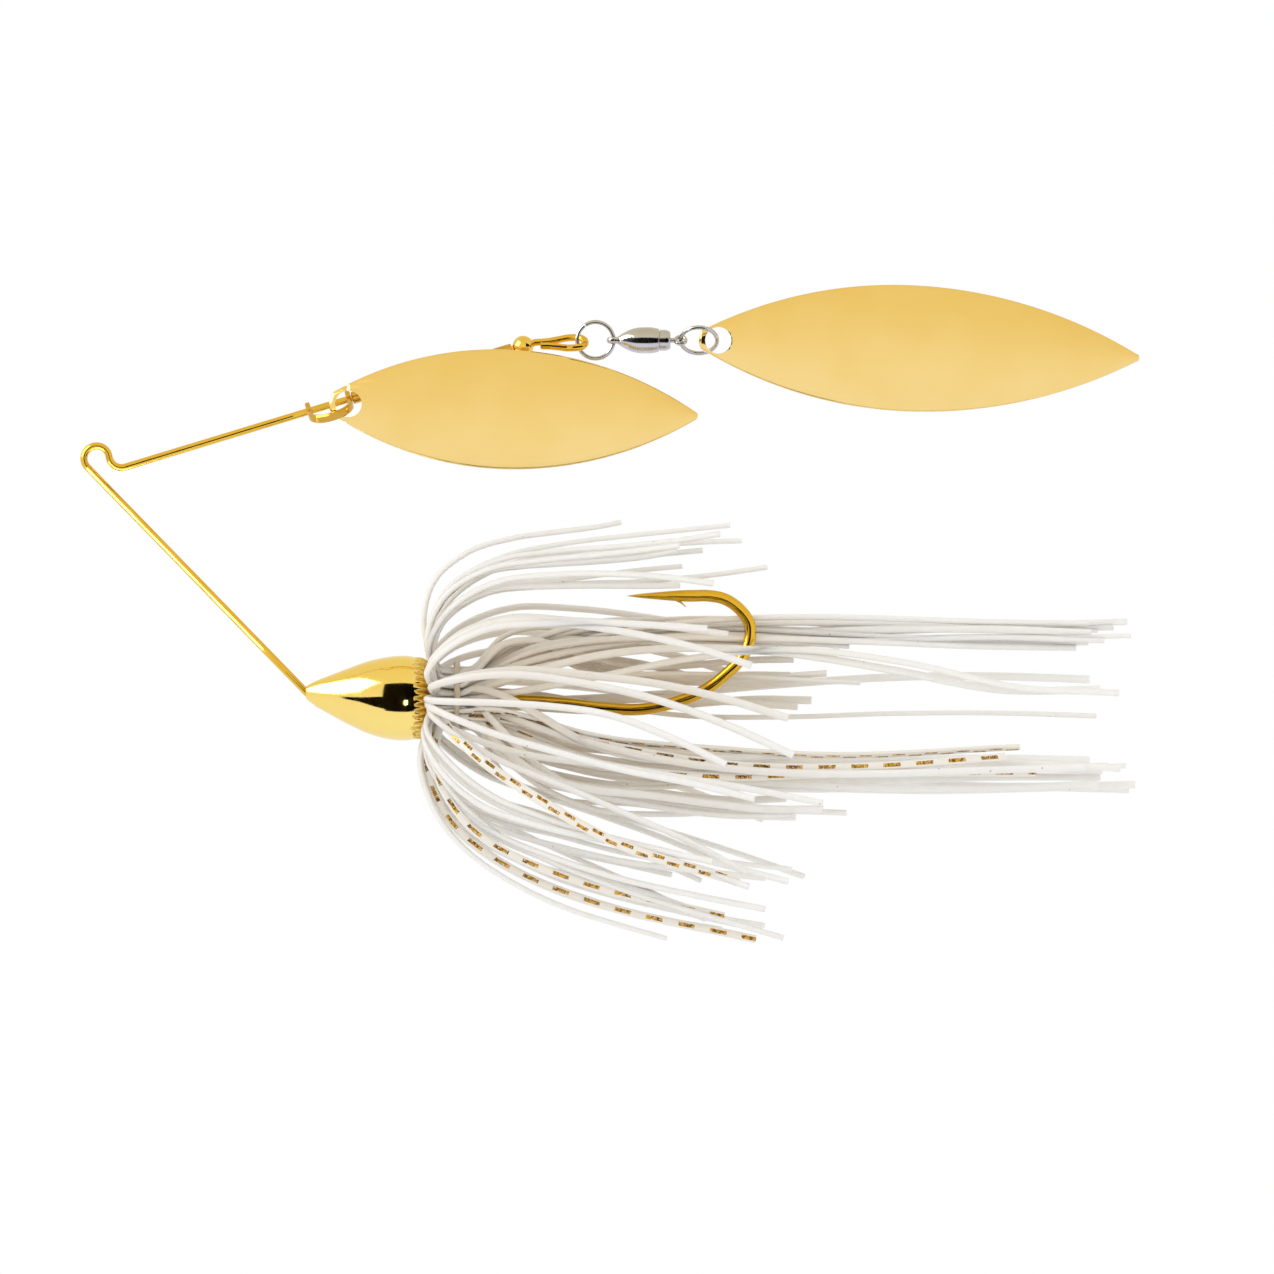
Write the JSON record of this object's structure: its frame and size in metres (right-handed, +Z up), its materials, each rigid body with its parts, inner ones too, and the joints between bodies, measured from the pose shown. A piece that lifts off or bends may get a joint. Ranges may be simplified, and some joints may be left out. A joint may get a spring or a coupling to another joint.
{
  "type": "spinnerbait",
  "caption": "Overhead-arm fishing lure: bent wire with a bullet head, single hook and silicone skirt below, and two willow-leaf blades on clevis and swivel above.",
  "frame": {"origin": "centre of the line tie's bend, the point the lure hangs from", "axes": "+Z up through the line tie with the head and blades hanging below it, +X toward the blade arm, -Y on the side of the front blade; the wire form, head and hook lie in the XZ plane"},
  "size_m": [0.0764, 0.0482, 0.1299],
  "materials": {
    "wire_gold": "polished gold plate on stainless spring wire",
    "hook_gold": "polished gold plate on forged steel",
    "head_gold": "mirror gold plate on cast lead",
    "blade_gold": "smooth mirror gold plate",
    "fittings_gold": "polished gold plate",
    "swivel_nickel": "polished nickel plate",
    "skirt_silicone": "soft pearl-white silicone, some strands clear with gold flake",
    "band_rubber": "matte latex band"
  },
  "bodies": {
    "frame": {"wire_frame": "wire_gold", "hook": "hook_gold", "head": "head_gold", "skirt_bundle_01": "skirt_silicone", "skirt_bundle_02": "skirt_silicone", "skirt_bundle_03": "skirt_silicone", "skirt_bundle_04": "skirt_silicone", "skirt_bundle_05": "skirt_silicone", "skirt_bundle_06": "skirt_silicone", "skirt_bundle_07": "skirt_silicone", "skirt_bundle_08": "skirt_silicone", "skirt_bundle_09": "skirt_silicone", "skirt_bundle_10": "skirt_silicone", "skirt_band": "band_rubber"},
    "sleeve": {"spacer_sleeve": "fittings_gold"},
    "clevis": {"front_clevis": "fittings_gold"},
    "front_blade": {"front_blade": "blade_gold"},
    "bead": {"wire_bead": "fittings_gold"},
    "front_ring": {"swivel_front_ring": "swivel_nickel"},
    "barrel": {"swivel_barrel": "swivel_nickel", "swivel_end_cap": "swivel_nickel", "swivel_ball_1": "swivel_nickel", "swivel_ball_2": "swivel_nickel", "swivel_ball_3": "swivel_nickel", "swivel_ball_4": "swivel_nickel", "swivel_ball_5": "swivel_nickel"},
    "stem": {"swivel_stem": "swivel_nickel"},
    "rear_ring": {"rear_ring": "swivel_nickel"},
    "rear_blade": {"rear_blade": "blade_gold"}
  },
  "joints": [
    {"name": "blade_slide", "type": "slide", "parent": "frame", "child": "sleeve", "axis": [-0.2907, 0, 0.9568], "range_m": [0, 0.019]},
    {"name": "clevis_spin", "type": "hinge", "parent": "sleeve", "child": "clevis", "pos_m": [0.00581, 0, -0.0261], "axis": [0.2907, 0, -0.9568], "continuous": true},
    {"name": "front_blade_flap", "type": "hinge", "parent": "clevis", "child": "front_blade", "pos_m": [0.00637, -0.00295, -0.03126], "axis": [-0.91, 0.309, -0.2765], "range_deg": [-2, 25]},
    {"name": "wire_bead_spin", "type": "hinge", "parent": "frame", "child": "bead", "pos_m": [0.01378, 0, -0.05233], "axis": [0.2907, 0, -0.9568], "continuous": true},
    {"name": "front_ring_swing", "type": "hinge", "parent": "frame", "child": "front_ring", "pos_m": [0.01426, -0.00042, -0.05995], "axis": [0.4996, 0.866, 0.0209], "range_deg": [-20, 20]},
    {"name": "swivel_swing", "type": "hinge", "parent": "front_ring", "child": "barrel", "pos_m": [0.0145, -0.00042, -0.06344], "axis": [1, 0, 0], "range_deg": [-30, 30]},
    {"name": "swivel_spin", "type": "hinge", "parent": "barrel", "child": "stem", "pos_m": [0.0145, -0.00042, -0.068], "axis": [0, 0, -1], "continuous": true},
    {"name": "rear_ring_swing", "type": "hinge", "parent": "stem", "child": "rear_ring", "pos_m": [0.0145, -0.00042, -0.07227], "axis": [0.7071, 0.7071, 0], "range_deg": [-30, 30]},
    {"name": "rear_blade_flap", "type": "hinge", "parent": "rear_ring", "child": "rear_blade", "pos_m": [0.0145, -0.00042, -0.07613], "axis": [-0.7071, 0.7071, 0], "range_deg": [-45, 45]}
  ]
}
